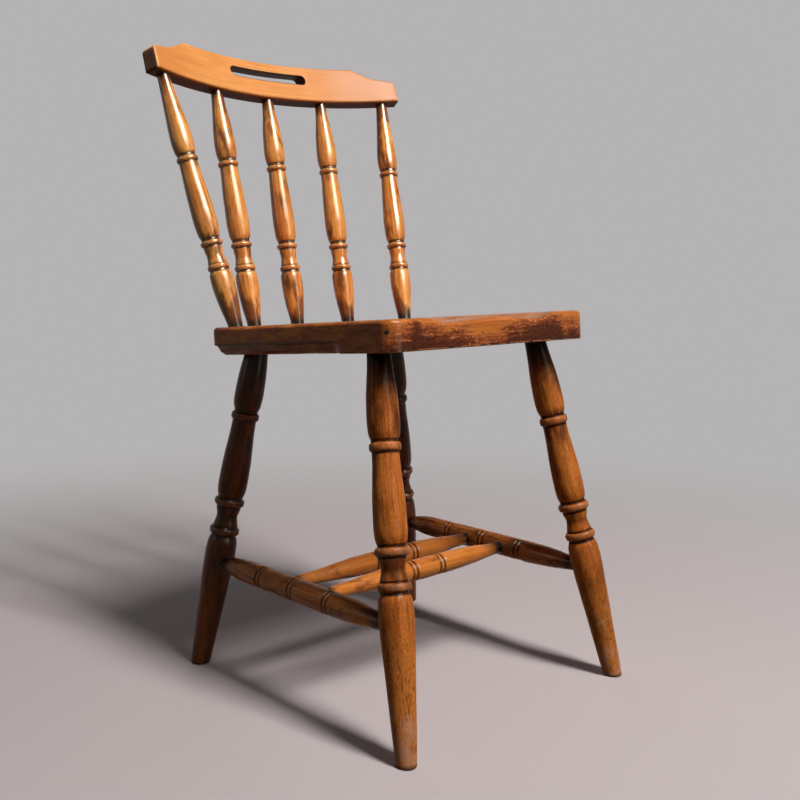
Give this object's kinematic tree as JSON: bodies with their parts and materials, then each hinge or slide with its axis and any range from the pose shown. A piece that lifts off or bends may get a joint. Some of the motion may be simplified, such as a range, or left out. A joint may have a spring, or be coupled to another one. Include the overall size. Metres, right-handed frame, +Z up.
{
  "type": "spindle back chair",
  "caption": "Wooden kitchen chair with a sloping saddle seat, splayed turned legs, turned stretchers and spindles, and a curved crest rail with a hand slot.",
  "frame": {"origin": "middle of the chair's bounding box, on the floor", "axes": "+Z up, the sitter faces -Y, +X is on the sitter's left"},
  "size_m": [0.4074, 0.5092, 0.7707],
  "materials": {
    "seat": "varnish worn through along the front edge",
    "legs": "dark glossy varnish, scuffed near the feet",
    "side_stretchers": "red-brown varnish, mottled",
    "cross_stretchers": "orange varnish with grime in the grooves",
    "spindles": "glossy amber varnish",
    "crest_rail": "glossy honey-coloured varnish"
  },
  "bodies": {
    "root": {"seat": "seat", "leg_front_left": "legs", "leg_front_right": "legs", "leg_rear_left": "legs", "leg_rear_right": "legs", "stretcher_left": "side_stretchers", "stretcher_right": "side_stretchers", "stretcher_cross_front": "cross_stretchers", "stretcher_cross_rear": "cross_stretchers", "spindle_1": "spindles", "spindle_2": "spindles", "spindle_3": "spindles", "spindle_4": "spindles", "spindle_5": "spindles", "crest_rail": "crest_rail"}
  },
  "joints": []
}
